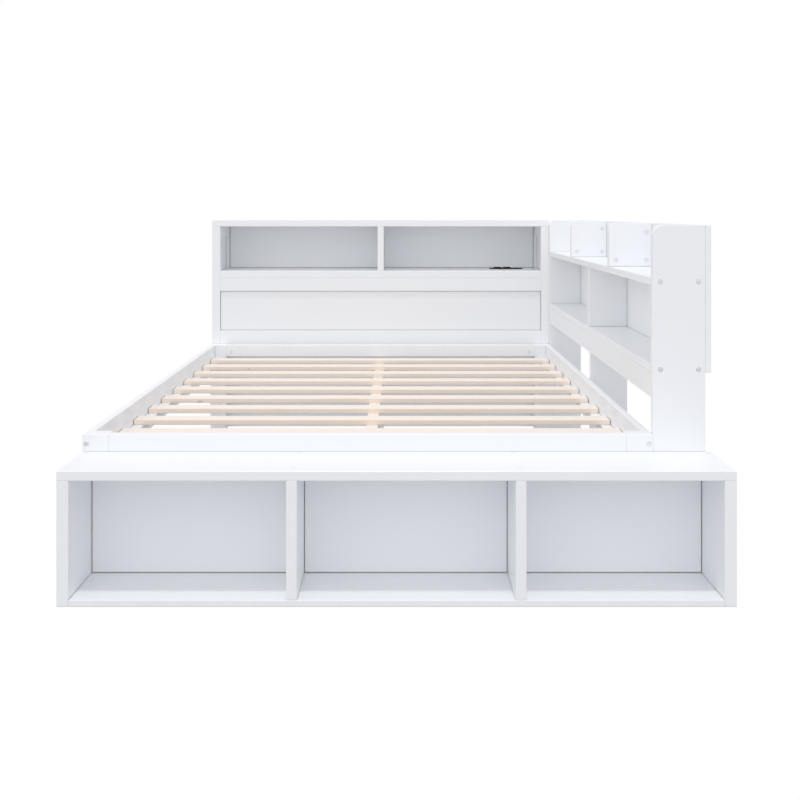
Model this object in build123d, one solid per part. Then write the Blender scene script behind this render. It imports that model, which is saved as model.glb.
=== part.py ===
from build123d import *
import os

# Storage daybed for a full size mattress: a slatted bed with a storage bench across its
# foot, an open bookcase along its right side and a cubby headboard with a power outlet.
# Millimetres. +Z is up, the foot end faces -Y and the bookcase stands on the +X side.
# The origin is on the floor under the middle of the whole piece.

# The bookcase and the headboard meet at one height
overall_height = 888.0

# Bed frame: the clear space for the mattress, and the members round it
mattress_space_width = 1400.0
mattress_space_length = 1910.0
frame_height = 360.0
post_width = 66.5
post_depth = 48.0
side_rail_thickness = 20.0
side_rail_height = 117.0
end_rail_thickness = 25.0
head_rail_height = 48.0
end_tenon_length = 20.0
end_tenon_thickness = 9.0
end_tenon_shoulder = 10.0

# Slats and what carries them
slat_count = 10
slat_width = 68.0
slat_thickness = 15.0
slat_drop = 48.0
slat_side_gap = 2.0
slat_gap_foot = 30.0
slat_gap_head = 58.0
slat_edge_ease = 2.0
slat_screw_inset = 16.0
cleat_width = 30.0
cleat_height = 28.0
centre_rail_width = 36.0
centre_rail_height = 60.0
centre_leg_width = 40.0
centre_leg_count = 3
bracket_steel = 2.0
bracket_seat_length = 40.0
bracket_wall_height = 34.0
bracket_ear_width = 18.0

# Storage bench across the foot
bench_depth = 220.0
bench_height = 316.0
bench_top_thickness = 22.0
bench_side_thickness = 28.0
bench_divider_thickness = 25.0
bench_bottom_thickness = 16.0
bench_bay_left = 508.0
bench_bay_middle = 510.5
bench_back_inset = 203.0
bench_screw_front_inset = 39.0
bench_screw_back_inset = 203.0

# Bookcase along the right side
bookcase_depth = 132.0
bookcase_back_thickness = 15.0
back_panel_rise = 2.0
bookcase_end_thickness = 26.0
bookcase_divider_thickness = 25.0
bookcase_corner_radius = 25.0
top_shelf_z = 735.0
top_shelf_thickness = 20.0
lower_shelf_z = 513.0
lower_shelf_thickness = 21.0
apron_height = 63.0
apron_thickness = 20.0
middle_divider_offset = 990.0
middle_divider_recess = 2.5
middle_leg_recess = 8.0
upper_divider_offsets = (608.0, 1373.0)
bookcase_bolt_front_inset = 19.0
bookcase_bolt_back_inset = 17.0
cam_height = 20.0
cam_front_inset = 21.5
cam_back_inset = 17.5
cam_top_inset = 28.0

# Headboard with two cubbies over a framed panel
headboard_depth = 300.0
headboard_top_thickness = 26.5
stile_width = 34.0
stile_depth = 45.0
cubby_floor_z = 671.0
cubby_floor_thickness = 28.0
cubby_divider_thickness = 25.5
upper_rail_height = 57.5
front_panel_height = 168.5
lower_rail_height = 66.0
front_rail_thickness = 25.0
front_panel_recess = 7.0
lower_panel_recess = 16.0
lower_panel_floor_gap = 4.0
side_rail_recess = 3.0
side_top_rail_height = 50.0
side_bottom_rail_height = 50.0
side_bottom_rail_z = 60.0
rear_stretcher_height = 60.0
rear_stretcher_z = 60.0
back_panel_inset = 4.0
frame_tenon_length = 18.0
frame_tenon_thickness = 10.0
frame_tenon_shoulder = 10.0

# Thin panels sit by a tongue in grooves, with a shadow line round their front layer
panel_thickness = 12.0
tongue_thickness = 6.0
tongue_depth = 5.0
shadow_gap = 2.5
tongue_stop = 20.0

# Power outlet let into the floor of the right cubby
outlet_length = 144.0
outlet_width = 54.0
outlet_plate_height = 4.0
outlet_right_inset = 61.0
outlet_front_inset = 163.0
outlet_rim = 6.0
outlet_corner_radius = 6.0
outlet_wall = 2.5
outlet_housing_depth = 42.0
socket_width = 36.0
socket_length = 34.0
socket_rise = 9.0
socket_pitch = 40.5
socket_first_inset = 34.0
socket_sink = 10.0
pin_slot_width = 2.2
pin_slot_length = 8.0
pin_slot_spacing = 12.7
pin_slot_depth = 12.0
earth_hole_radius = 2.6
earth_hole_offset = 10.0
usb_block_width = 20.0
usb_block_length = 34.0
usb_block_rise = 1.0
usb_inset = 21.0
usb_slot_width = 5.0
usb_slot_length = 12.6
usb_slot_spacing = 17.0
usb_slot_depth = 8.0
gland_radius = 6.0
gland_length = 10.0

# Fasteners
bolt_head_radius = 6.0
bolt_head_height = 4.0
bolt_shank_radius = 3.0
bolt_grip = 42.0
bolt_edge_inset = 24.0
barrel_radius = 5.0
barrel_setback = 35.0
barrel_length = 14.0
link_bolt_z = 180.0
link_bolt_grip = 32.0
screw_head_radius = 5.0
screw_head_height = 3.0
screw_shank_radius = 2.75
screw_length = 50.0
cap_radius = 5.5
cap_thickness = 2.5
slat_screw_radius = 2.5
slat_screw_length = 35.0
dowel_radius = 4.0
dowel_length = 30.0
cam_radius = 7.5
cam_depth = 12.5

# Fits and edges
hidden_flat_count = 6
shown_flat_count = 12
fastener_clearance = 0.15
joint_clearance = 0.1
edge_ease = 1.0
overcut = 1.0

# Places worked out from the sizes: X from left to right
bed_width = mattress_space_width + 2 * side_rail_thickness
overall_width = bed_width + bookcase_depth + bookcase_back_thickness
left_x = -overall_width / 2
right_x = overall_width / 2
bed_right_x = left_x + bed_width
bookcase_back_x = bed_right_x + bookcase_depth

# Y from the foot to the head
frame_length = mattress_space_length + 2 * post_depth
overall_length = bench_depth + frame_length + headboard_depth
front_y = -overall_length / 2
foot_y = front_y + bench_depth
head_y = foot_y + frame_length
rear_y = head_y + headboard_depth
post_front_y = foot_y + post_depth
post_rear_y = head_y - post_depth

# Z from the floor up
rail_bottom_z = frame_height - side_rail_height
slat_top_z = frame_height - slat_drop
slat_bottom_z = slat_top_z - slat_thickness
bench_ceiling_z = bench_height - bench_top_thickness
headboard_ceiling_z = overall_height - headboard_top_thickness
cubby_floor_bottom_z = cubby_floor_z - cubby_floor_thickness

parts = {}


def span(start, length):
    return (start, start + length)


def centred(middle, length):
    return (middle - length / 2, middle + length / 2)


def middle(pair):
    return (pair[0] + pair[1]) / 2


def grown(pair, amount):
    return (pair[0] - amount, pair[1] + amount)


def block(x, y, z):
    size = Box(x[1] - x[0], y[1] - y[0], z[1] - z[0])
    return Pos(middle(x), middle(y), middle(z)) * size


def board(x, y, z):
    # A lacquered board: its twelve edges are broken by a small chamfer
    plain = block(x, y, z)
    return chamfer(plain.edges(), edge_ease)


def round_corner_panel(x, y, z):
    # A panel across the bookcase whose top corner towards the bed is rounded
    plain = block(x, y, z)
    corner = plain.edges().filter_by(Axis.Y).group_by(Axis.Z)[-1].sort_by(Axis.X)[0]
    rounded = fillet(corner, bookcase_corner_radius)
    return chamfer(rounded.edges(), edge_ease)


def stepped_pin(flats, *steps):
    # A stepped pin or hole along +Z, each step (radius, start, end). Fasteners are small and
    # many, so their round steps are drawn with a few flats.
    prisms = [
        Pos(0, 0, start) * extrude(RegularPolygon(radius, flats), end - start)
        for radius, start, end in steps
    ]
    return Part() + prisms


def place(solid, point, direction):
    return Plane(origin=point, z_dir=direction).location * solid


def add(name, solid):
    parts[name] = [solid]


def add_to(group, solid):
    parts.setdefault(group, []).append(solid)


def cut(cutter, *names):
    # Takes a cutter out of every solid of the named pieces that it reaches
    for name in names:
        parts[name] = [solid - cutter for solid in parts[name]]


def bolt_pair(length, clearance):
    # A bolt with its head let in flush, and the stepped hole it goes in
    bolt = stepped_pin(
        hidden_flat_count,
        (bolt_head_radius, 0, bolt_head_height),
        (bolt_shank_radius, bolt_head_height, length),
    )
    hole = stepped_pin(
        hidden_flat_count,
        (bolt_head_radius + clearance, 0, bolt_head_height),
        (bolt_shank_radius + clearance, bolt_head_height, length + clearance),
    )
    return bolt, hole


def add_bolt(point, direction, length, *names):
    bolt, hole = bolt_pair(length, fastener_clearance)
    cut(place(hole, point, direction), *names)
    add_to("joint_bolts", place(bolt, point, direction))


def add_barrel_nut(point, direction, bolt_point, bolt_direction, bolt_length, name):
    # The cross nut is let into a face of the board, and the bolt goes through it
    nut = stepped_pin(hidden_flat_count, (barrel_radius, 0, barrel_length))
    pocket = stepped_pin(hidden_flat_count, (barrel_radius + fastener_clearance, 0, barrel_length))
    bolt_hole = place(bolt_pair(bolt_length, fastener_clearance)[1], bolt_point, bolt_direction)
    cut(place(pocket, point, direction), name)
    add_to("barrel_nuts", place(nut, point, direction) - bolt_hole)


def add_dowel(point, direction, *names):
    # A dowel is centred on the joint between two boards
    half = dowel_length / 2
    peg = stepped_pin(hidden_flat_count, (dowel_radius, -half, half))
    hole = stepped_pin(hidden_flat_count, (dowel_radius + fastener_clearance, -half, half))
    cut(place(hole, point, direction), *names)
    add_to("dowels", place(peg, point, direction))


def add_bench_screw(point, direction, sunk, *names):
    screw = stepped_pin(
        hidden_flat_count,
        (screw_head_radius, sunk, sunk + screw_head_height),
        (screw_shank_radius, sunk + screw_head_height, screw_length),
    )
    hole = stepped_pin(
        hidden_flat_count,
        (screw_head_radius + fastener_clearance, 0, sunk + screw_head_height),
        (screw_shank_radius + fastener_clearance, sunk + screw_head_height, screw_length),
    )
    cut(place(hole, point, direction), *names)
    add_to("bench_screws", place(screw, point, direction))


def tongued_panel(name, x, y, z, neighbours):
    # A panel whose front layer stops short of the frame by the shadow gap, while its
    # back layer, towards +Y, runs on into grooves in the frame
    front_y_span = (y[0], y[1] - tongue_thickness)
    back_y_span = (front_y_span[1], y[1])
    front = block(grown(x, -shadow_gap), front_y_span, grown(z, -shadow_gap))
    tongue = block(grown(x, tongue_depth), back_y_span, grown(z, tongue_depth))
    reach = tongue_depth + joint_clearance
    cut(block(grown(x, reach), grown(back_y_span, joint_clearance), grown(z, reach)), *neighbours)
    add_to(name, front + tongue)


def tenoned_rail(name, x, y, z, thickness, shoulder, length, posts):
    # A rail between two posts, with a stub tenon at each end
    tenon_y = centred(middle(y), thickness)
    tenon_z = grown(z, -shoulder)
    rail = board(x, y, z) + block(grown(x, length), tenon_y, tenon_z)
    mortise = block(
        grown(x, length + joint_clearance),
        grown(tenon_y, joint_clearance),
        grown(tenon_z, joint_clearance),
    )
    cut(mortise, *posts)
    add_to(name, rail)


# Bed frame
left_post_x = span(left_x, post_width)
right_post_x = span(bed_right_x - post_width, post_width)
between_posts_x = (left_post_x[1], right_post_x[0])
side_rail_y = (post_front_y, post_rear_y)
left_rail_x = span(left_x, side_rail_thickness)
right_rail_x = span(bed_right_x - side_rail_thickness, side_rail_thickness)
bed_middle_x = (left_x + bed_right_x) / 2


def make_bed_frame():
    foot = (foot_y, post_front_y)
    head = (post_rear_y, head_y)
    add("foot_post_left", board(left_post_x, foot, (0, frame_height)))
    add("foot_post_right", board(right_post_x, foot, (0, frame_height)))
    add("head_post_left", board(left_post_x, head, (0, frame_height)))
    add("head_post_right", board(right_post_x, head, (0, frame_height)))
    rail_z = (rail_bottom_z, frame_height)
    add("side_rail_left", board(left_rail_x, side_rail_y, rail_z))
    add("side_rail_right", board(right_rail_x, side_rail_y, rail_z))
    tenoned_rail(
        "foot_rail", between_posts_x, span(foot_y, end_rail_thickness), rail_z,
        end_tenon_thickness, end_tenon_shoulder, end_tenon_length,
        ("foot_post_left", "foot_post_right"),
    )
    tenoned_rail(
        "head_rail", between_posts_x, span(post_rear_y, end_rail_thickness),
        (frame_height - head_rail_height, frame_height),
        end_tenon_thickness, end_tenon_shoulder, end_tenon_length,
        ("head_post_left", "head_post_right"),
    )
    cleat_z = (slat_bottom_z - cleat_height, slat_bottom_z)
    add("slat_cleat_left", board(span(left_rail_x[1], cleat_width), side_rail_y, cleat_z))
    add("slat_cleat_right", board((right_rail_x[0] - cleat_width, right_rail_x[0]), side_rail_y, cleat_z))


def make_slats():
    x = (left_rail_x[1] + slat_side_gap, right_rail_x[0] - slat_side_gap)
    spread = mattress_space_length - slat_gap_foot - slat_gap_head - slat_width
    pitch = spread / (slat_count - 1)
    screw = stepped_pin(hidden_flat_count, (slat_screw_radius, 0, slat_screw_length))
    hole = stepped_pin(hidden_flat_count, (slat_screw_radius + fastener_clearance, 0, slat_screw_length))
    down = (0, 0, -1)
    for index in range(slat_count):
        y = span(post_front_y + slat_gap_foot + index * pitch, slat_width)
        plain = block(x, y, (slat_bottom_z, slat_top_z))
        slat = chamfer(plain.edges().filter_by(Axis.X), slat_edge_ease)
        for screw_x in (x[0] + slat_screw_inset, x[1] - slat_screw_inset):
            point = (screw_x, middle(y), slat_top_z)
            slat = slat - place(hole, point, down)
            cleat = "slat_cleat_left" if screw_x < bed_middle_x else "slat_cleat_right"
            cut(place(hole, point, down), cleat)
            add_to("slat_screws", place(screw, point, down))
        add_to("slats", slat)


def make_centre_support():
    x = centred(bed_middle_x, centre_rail_width)
    z = (slat_bottom_z - centre_rail_height, slat_bottom_z)
    foot_end = foot_y + end_rail_thickness
    head_end = head_y + lower_panel_recess
    y = (foot_end + bracket_steel, head_end - bracket_steel)
    add("centre_rail", board(x, y, z))
    leg_pitch = (y[1] - y[0]) / (centre_leg_count + 1)
    for index in range(centre_leg_count):
        leg_y = centred(y[0] + (index + 1) * leg_pitch, centre_leg_width)
        add_to("centre_legs", board(centred(bed_middle_x, centre_leg_width), leg_y, (0, z[0])))
    seat_z = (z[0] - bracket_steel, z[0] + bracket_wall_height)
    for flange_y, seat_y in (
        ((foot_end, y[0]), span(y[0], bracket_seat_length)),
        ((y[1], head_end), (y[1] - bracket_seat_length, y[1])),
    ):
        cradle = block(grown(x, bracket_steel), seat_y, seat_z) - block(x, seat_y, (z[0], seat_z[1]))
        flange = block(grown(x, bracket_steel + bracket_ear_width), flange_y, seat_z)
        add_to("centre_brackets", cradle + flange)


# Corner bolts of the bed frame, and the bolts that link bench, bookcase and headboard to it
def make_frame_bolts():
    forward = (0, 1, 0)
    backward = (0, -1, 0)
    length = post_depth + bolt_grip
    sides = (
        ("left", left_rail_x, (-1, 0, 0), left_rail_x[1]),
        ("right", right_rail_x, (1, 0, 0), right_rail_x[0]),
    )
    for side, rail_x, outward, inner_x in sides:
        for z in (rail_bottom_z + bolt_edge_inset, frame_height - bolt_edge_inset):
            foot_point = (middle(rail_x), foot_y, z)
            head_point = (middle(rail_x), head_y, z)
            rail = "side_rail_" + side
            add_bolt(foot_point, forward, length, "foot_post_" + side, rail)
            add_bolt(head_point, backward, length, "head_post_" + side, rail)
            foot_nut = (inner_x, post_front_y + barrel_setback, z)
            head_nut = (inner_x, post_rear_y - barrel_setback, z)
            add_barrel_nut(foot_nut, outward, foot_point, forward, length, rail)
            add_barrel_nut(head_nut, outward, head_point, backward, length, rail)


def make_link_bolts():
    forward = (0, 1, 0)
    backward = (0, -1, 0)
    rightward = (1, 0, 0)
    through_post = post_depth + link_bolt_grip
    through_end = bookcase_end_thickness + link_bolt_grip
    across_post = post_width + link_bolt_grip
    stile_inset = stile_width / 2
    end_inset = bookcase_end_thickness / 2
    bench_z = bench_height - bench_top_thickness / 2
    end_x = bed_right_x + bookcase_depth / 2
    end_rear_face = foot_y + bookcase_end_thickness
    links = (
        (left_x + stile_inset, post_rear_y, link_bolt_z, forward, through_post,
         "head_post_left", "headboard_stile_left"),
        (bed_right_x - stile_inset, post_rear_y, link_bolt_z, forward, through_post,
         "head_post_right", "headboard_stile_right"),
        (middle(left_post_x), post_front_y, bench_z, backward, through_post,
         "foot_post_left", "bench_top"),
        (end_x, end_rear_face, bench_z, backward, through_end,
         "bookcase_end_front", "bench_top"),
        (right_post_x[0], foot_y + end_inset, link_bolt_z, rightward, across_post,
         "foot_post_right", "bookcase_end_front"),
        (right_post_x[0], head_y - end_inset, link_bolt_z, rightward, across_post,
         "head_post_right", "bookcase_end_rear"),
    )
    for x, y, z, direction, length, first, second in links:
        add_bolt((x, y, z), direction, length, first, second)


# Storage bench
def make_bench():
    y = (front_y, foot_y)
    inner = (left_x + bench_side_thickness, right_x - bench_side_thickness)
    left_divider = span(inner[0] + bench_bay_left, bench_divider_thickness)
    right_divider = span(left_divider[1] + bench_bay_middle, bench_divider_thickness)
    wall_z = (0, bench_ceiling_z)
    divider_z = (bench_bottom_thickness, bench_ceiling_z)
    add("bench_top", board((left_x, right_x), y, (bench_ceiling_z, bench_height)))
    add("bench_side_left", board((left_x, inner[0]), y, wall_z))
    add("bench_side_right", board((inner[1], right_x), y, wall_z))
    bottom_z = (0, bench_bottom_thickness)
    tongue_x = grown(inner, tongue_depth)
    tongue_y = grown(y, -tongue_stop)
    tongue_z = centred(middle(bottom_z), tongue_thickness)
    add("bench_bottom", board(inner, y, bottom_z) + block(tongue_x, tongue_y, tongue_z))
    cut(
        block(
            grown(tongue_x, joint_clearance),
            grown(tongue_y, joint_clearance),
            grown(tongue_z, joint_clearance),
        ),
        "bench_side_left", "bench_side_right",
    )
    add("bench_divider_left", board(left_divider, y, divider_z))
    add("bench_divider_right", board(right_divider, y, divider_z))
    panel_y = span(front_y + bench_back_inset, panel_thickness)
    bays = (
        ((inner[0], left_divider[0]), "bench_side_left", "bench_divider_left"),
        ((left_divider[1], right_divider[0]), "bench_divider_left", "bench_divider_right"),
        ((right_divider[1], inner[1]), "bench_divider_right", "bench_side_right"),
    )
    for bay_x, left_wall, right_wall in bays:
        tongued_panel(
            "bench_back_panels", bay_x, panel_y, divider_z,
            (left_wall, right_wall, "bench_top", "bench_bottom"),
        )
    columns = (
        (left_x + bench_side_thickness / 2, "bench_side_left"),
        (middle(left_divider), "bench_divider_left"),
        (middle(right_divider), "bench_divider_right"),
        (right_x - bench_side_thickness / 2, "bench_side_right"),
    )
    cap = stepped_pin(shown_flat_count, (cap_radius, 0, cap_thickness))
    for x, wall in columns:
        for inset in (bench_screw_front_inset, bench_screw_back_inset):
            point = (x, front_y + inset, bench_height)
            add_bench_screw(point, (0, 0, -1), cap_thickness, "bench_top", wall)
            cut(place(cap, point, (0, 0, -1)), "bench_top")
            add_to("bench_caps", place(cap, point, (0, 0, -1)))
            if "divider" in wall:
                add_bench_screw((x, front_y + inset, 0), (0, 0, 1), 0, "bench_bottom", wall)


# Bookcase
def make_bookcase():
    x = (bed_right_x, bookcase_back_x)
    end_front_y = span(foot_y, bookcase_end_thickness)
    end_rear_y = (head_y - bookcase_end_thickness, head_y)
    bay_y = (end_front_y[1], end_rear_y[0])
    full_z = (0, overall_height)
    add("bookcase_end_front", round_corner_panel(x, end_front_y, full_z))
    add("bookcase_end_rear", round_corner_panel(x, end_rear_y, full_z))
    top_z = span(top_shelf_z, top_shelf_thickness)
    lower_z = span(lower_shelf_z, lower_shelf_thickness)
    add("bookcase_top_shelf", board(x, bay_y, top_z))
    add("bookcase_lower_shelf", board(x, bay_y, lower_z))
    apron_z = (lower_z[0] - apron_height, lower_z[0])
    add("bookcase_apron", board(span(x[0], apron_thickness), bay_y, apron_z))
    divider_y = span(foot_y + middle_divider_offset, bookcase_divider_thickness)
    add(
        "bookcase_middle_divider",
        board((x[0] + middle_divider_recess, x[1]), divider_y, (lower_z[1], top_z[0])),
    )
    add("bookcase_middle_leg", board((x[0] + middle_leg_recess, x[1]), divider_y, (0, lower_z[0])))
    notch_z = grown(apron_z, joint_clearance)
    notch = block((x[0], x[0] + apron_thickness), grown(divider_y, overcut), notch_z)
    cut(notch, "bookcase_middle_leg")
    for side, offset in zip(("front", "rear"), upper_divider_offsets):
        y = span(foot_y + offset, bookcase_divider_thickness)
        add("bookcase_upper_divider_" + side, round_corner_panel(x, y, (top_z[1], overall_height)))
    back_z = (lower_z[0] + back_panel_rise, overall_height)
    add(
        "bookcase_back_panel",
        board((bookcase_back_x, right_x), (foot_y, head_y), back_z),
    )


def make_bookcase_joints():
    x = (bed_right_x, bookcase_back_x)
    bolt_columns = (x[0] + bookcase_bolt_front_inset, x[1] - bookcase_bolt_back_inset)
    length = bookcase_end_thickness + bolt_grip
    shelves = (
        ("bookcase_top_shelf", top_shelf_z, top_shelf_thickness),
        ("bookcase_lower_shelf", lower_shelf_z, lower_shelf_thickness),
    )
    for shelf, z, thickness in shelves:
        for bolt_x in bolt_columns:
            front_point = (bolt_x, foot_y, z + thickness / 2)
            rear_point = (bolt_x, head_y, z + thickness / 2)
            add_bolt(front_point, (0, 1, 0), length, "bookcase_end_front", shelf)
            add_bolt(rear_point, (0, -1, 0), length, "bookcase_end_rear", shelf)
            setback = bookcase_end_thickness + barrel_setback
            front_nut = (bolt_x, foot_y + setback, z)
            rear_nut = (bolt_x, head_y - setback, z)
            add_barrel_nut(front_nut, (0, 0, 1), front_point, (0, 1, 0), length, shelf)
            add_barrel_nut(rear_nut, (0, 0, 1), rear_point, (0, -1, 0), length, shelf)
    cam = stepped_pin(shown_flat_count, (cam_radius, 0, cam_depth))
    top_of_shelf = top_shelf_z + top_shelf_thickness
    cam_places = (
        (x[0] + cam_front_inset, top_of_shelf + cam_height),
        (x[1] - cam_back_inset, top_of_shelf + cam_height),
        (x[1] - cam_back_inset, overall_height - cam_top_inset),
    )
    for side, offset in zip(("front", "rear"), upper_divider_offsets):
        for cam_x, cam_z in cam_places:
            pocket = place(cam, (cam_x, foot_y + offset, cam_z), (0, 1, 0))
            cut(pocket, "bookcase_upper_divider_" + side)
            add_to("cam_locks", pocket)
    divider_y = foot_y + middle_divider_offset + bookcase_divider_thickness / 2
    for peg_x in bolt_columns:
        add_dowel(
            (peg_x, divider_y, top_shelf_z), (0, 0, 1),
            "bookcase_middle_divider", "bookcase_top_shelf",
        )
        add_dowel(
            (peg_x + apron_thickness / 2, divider_y, lower_shelf_z), (0, 0, 1),
            "bookcase_middle_leg", "bookcase_lower_shelf",
        )


# Headboard
def make_headboard():
    bed_x = (left_x, bed_right_x)
    inner_x = grown(bed_x, -stile_width)
    y = (head_y, rear_y)
    stile_y = span(head_y, stile_depth)
    post_y = (rear_y - stile_depth, rear_y)
    post_z = (0, headboard_ceiling_z)
    sides = (("left", (bed_x[0], inner_x[0])), ("right", (inner_x[1], bed_x[1])))
    add("headboard_top", board(bed_x, y, (headboard_ceiling_z, overall_height)))
    for side, side_x in sides:
        add("headboard_stile_" + side, board(side_x, stile_y, post_z))
        add("headboard_rear_post_" + side, board(side_x, post_y, post_z))
        make_headboard_side(side, side_x, (stile_y[1], post_y[0]))
    stiles = ("headboard_stile_left", "headboard_stile_right")
    rear_posts = ("headboard_rear_post_left", "headboard_rear_post_right")
    rail_y = span(head_y, front_rail_thickness)
    upper_z = (cubby_floor_bottom_z - upper_rail_height, cubby_floor_bottom_z)
    panel_z = (upper_z[0] - front_panel_height, upper_z[0])
    lower_z = (panel_z[0] - lower_rail_height, panel_z[0])
    tenon = (frame_tenon_thickness, frame_tenon_shoulder, frame_tenon_length)
    tenoned_rail("headboard_upper_rail", inner_x, rail_y, upper_z, *tenon, stiles)
    tenoned_rail("headboard_lower_rail", inner_x, rail_y, lower_z, *tenon, stiles)
    stretcher_y = (rear_y - front_rail_thickness, rear_y)
    tenoned_rail(
        "headboard_rear_stretcher", inner_x, stretcher_y,
        span(rear_stretcher_z, rear_stretcher_height), *tenon, rear_posts,
    )
    add("headboard_shelf", board(inner_x, y, (cubby_floor_bottom_z, cubby_floor_z)))
    panel_y = span(head_y + front_panel_recess, panel_thickness)
    tongued_panel(
        "headboard_front_panel", inner_x, panel_y, panel_z,
        stiles + ("headboard_upper_rail", "headboard_lower_rail"),
    )
    lower_y = span(head_y + lower_panel_recess, panel_thickness)
    housed_x = grown(inner_x, tongue_depth)
    lower_panel_z = (lower_panel_floor_gap, lower_z[0])
    groove_y = grown(lower_y, joint_clearance)
    cut(block(grown(housed_x, joint_clearance), groove_y, grown(lower_panel_z, overcut)), *stiles)
    add("headboard_lower_panel", block(housed_x, lower_y, lower_panel_z))
    back_y = (rear_y - back_panel_inset - panel_thickness, rear_y - back_panel_inset)
    tongued_panel(
        "headboard_back_panel", inner_x, back_y, (cubby_floor_z, headboard_ceiling_z),
        rear_posts + ("headboard_shelf", "headboard_top"),
    )
    bed_middle = middle(bed_x)
    divider_x = centred(bed_middle, cubby_divider_thickness)
    divider_y = (head_y, back_y[0])
    add("headboard_divider", board(divider_x, divider_y, (cubby_floor_z, headboard_ceiling_z)))
    make_headboard_dowels(inner_x, stile_y, post_y, divider_y, bed_middle)


def make_headboard_side(side, side_x, gap_y):
    # Between the front stile and the rear post: a top rail, a bottom rail and a panel
    rail_x = grown(side_x, -side_rail_recess)
    top_z = (headboard_ceiling_z - side_top_rail_height, headboard_ceiling_z)
    bottom_z = span(side_bottom_rail_z, side_bottom_rail_height)
    name = "headboard_side_rails_" + side
    uprights = ("headboard_stile_" + side, "headboard_rear_post_" + side)
    tenon_x = centred(middle(rail_x), frame_tenon_thickness)
    for z in (top_z, bottom_z):
        tenon_z = grown(z, -frame_tenon_shoulder)
        rail = board(rail_x, gap_y, z) + block(tenon_x, grown(gap_y, frame_tenon_length), tenon_z)
        mortise = block(
            grown(tenon_x, joint_clearance),
            grown(gap_y, frame_tenon_length + joint_clearance),
            grown(tenon_z, joint_clearance),
        )
        cut(mortise, *uprights)
        add_to(name, rail)
    panel_x = centred(middle(side_x), panel_thickness)
    panel_y = grown(gap_y, tongue_depth)
    panel_z = grown((bottom_z[1], top_z[0]), tongue_depth)
    groove = block(
        grown(panel_x, joint_clearance),
        grown(panel_y, joint_clearance),
        grown(panel_z, joint_clearance),
    )
    cut(groove, name, *uprights)
    add("headboard_side_panel_" + side, block(panel_x, panel_y, panel_z))


def make_headboard_dowels(inner_x, stile_y, post_y, divider_y, bed_middle):
    shelf_z = (cubby_floor_bottom_z + cubby_floor_z) / 2
    for side, edge_x in (("left", inner_x[0]), ("right", inner_x[1])):
        outward = stile_width / 2 if side == "right" else -stile_width / 2
        for upright, peg_y in (("stile_", middle(stile_y)), ("rear_post_", middle(post_y))):
            name = "headboard_" + upright + side
            add_dowel((edge_x, peg_y, shelf_z), (1, 0, 0), name, "headboard_shelf")
            add_dowel((edge_x + outward, peg_y, headboard_ceiling_z), (0, 0, 1), name, "headboard_top")
    for peg_y in (divider_y[0] + stile_depth, divider_y[1] - stile_depth):
        add_dowel((bed_middle, peg_y, cubby_floor_z), (0, 0, 1), "headboard_divider", "headboard_shelf")
        add_dowel((bed_middle, peg_y, headboard_ceiling_z), (0, 0, 1), "headboard_divider", "headboard_top")


# Power outlet
def make_outlet():
    right_edge = bed_right_x - stile_width - outlet_right_inset
    x = (right_edge - outlet_length, right_edge)
    y = span(head_y + outlet_front_inset, outlet_width)
    plate_z = span(cubby_floor_z, outlet_plate_height)
    plate = block(x, y, plate_z)
    plate = fillet(plate.edges().filter_by(Axis.Z), outlet_corner_radius)
    body_x = grown(x, -outlet_rim)
    body_y = grown(y, -outlet_rim)
    body_z = (cubby_floor_z - outlet_housing_depth, cubby_floor_z)
    cut(
        block(grown(body_x, joint_clearance), grown(body_y, joint_clearance), grown(body_z, overcut)),
        "headboard_shelf",
    )
    shell = block(body_x, body_y, body_z)
    hollow = block(
        grown(body_x, -outlet_wall),
        grown(body_y, -outlet_wall),
        (body_z[0] + outlet_wall, body_z[1]),
    )
    gland = stepped_pin(shown_flat_count, (gland_radius, 0, gland_length))
    gland_z = (body_z[0] + cubby_floor_bottom_z) / 2
    gland_point = (middle(x), middle(y), body_z[0])
    housing = shell - hollow + place(gland, gland_point, (0, 0, -1))
    add("outlet_housing", housing)
    sunk_z = (cubby_floor_z - socket_sink, cubby_floor_z + socket_rise)
    middle_y = middle(y)
    for index in range(2):
        socket_x = centred(x[0] + socket_first_inset + index * socket_pitch, socket_width)
        socket = block(socket_x, centred(middle_y, socket_length), sunk_z)
        plate = plate - block(
            grown(socket_x, joint_clearance),
            grown(centred(middle_y, socket_length), joint_clearance),
            plate_z,
        )
        slot_z = (sunk_z[1] - pin_slot_depth, sunk_z[1])
        for offset in (-pin_slot_spacing / 2, pin_slot_spacing / 2):
            slot_x = centred(middle(socket_x) + offset, pin_slot_width)
            socket = socket - block(slot_x, centred(middle_y, pin_slot_length), slot_z)
        earth = stepped_pin(shown_flat_count, (earth_hole_radius, 0, pin_slot_depth))
        earth_point = (middle(socket_x), middle_y - earth_hole_offset, sunk_z[1])
        add_to("outlet_sockets", socket - place(earth, earth_point, (0, 0, -1)))
    usb_x = centred(x[1] - usb_inset, usb_block_width)
    usb_y = centred(middle_y, usb_block_length)
    usb_z = (cubby_floor_z - socket_sink, plate_z[1] + usb_block_rise)
    plate = plate - block(grown(usb_x, joint_clearance), grown(usb_y, joint_clearance), plate_z)
    usb = block(usb_x, usb_y, usb_z)
    for offset in (-usb_slot_spacing / 2, usb_slot_spacing / 2):
        usb = usb - block(
            centred(middle(usb_x), usb_slot_width),
            centred(middle_y + offset, usb_slot_length),
            (usb_z[1] - usb_slot_depth, usb_z[1]),
        )
    add("outlet_usb_ports", usb)
    add("outlet_plate", plate)


make_bed_frame()
make_slats()
make_bench()
make_bookcase()
make_headboard()
make_centre_support()
make_frame_bolts()
make_link_bolts()
make_bookcase_joints()
make_outlet()

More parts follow.
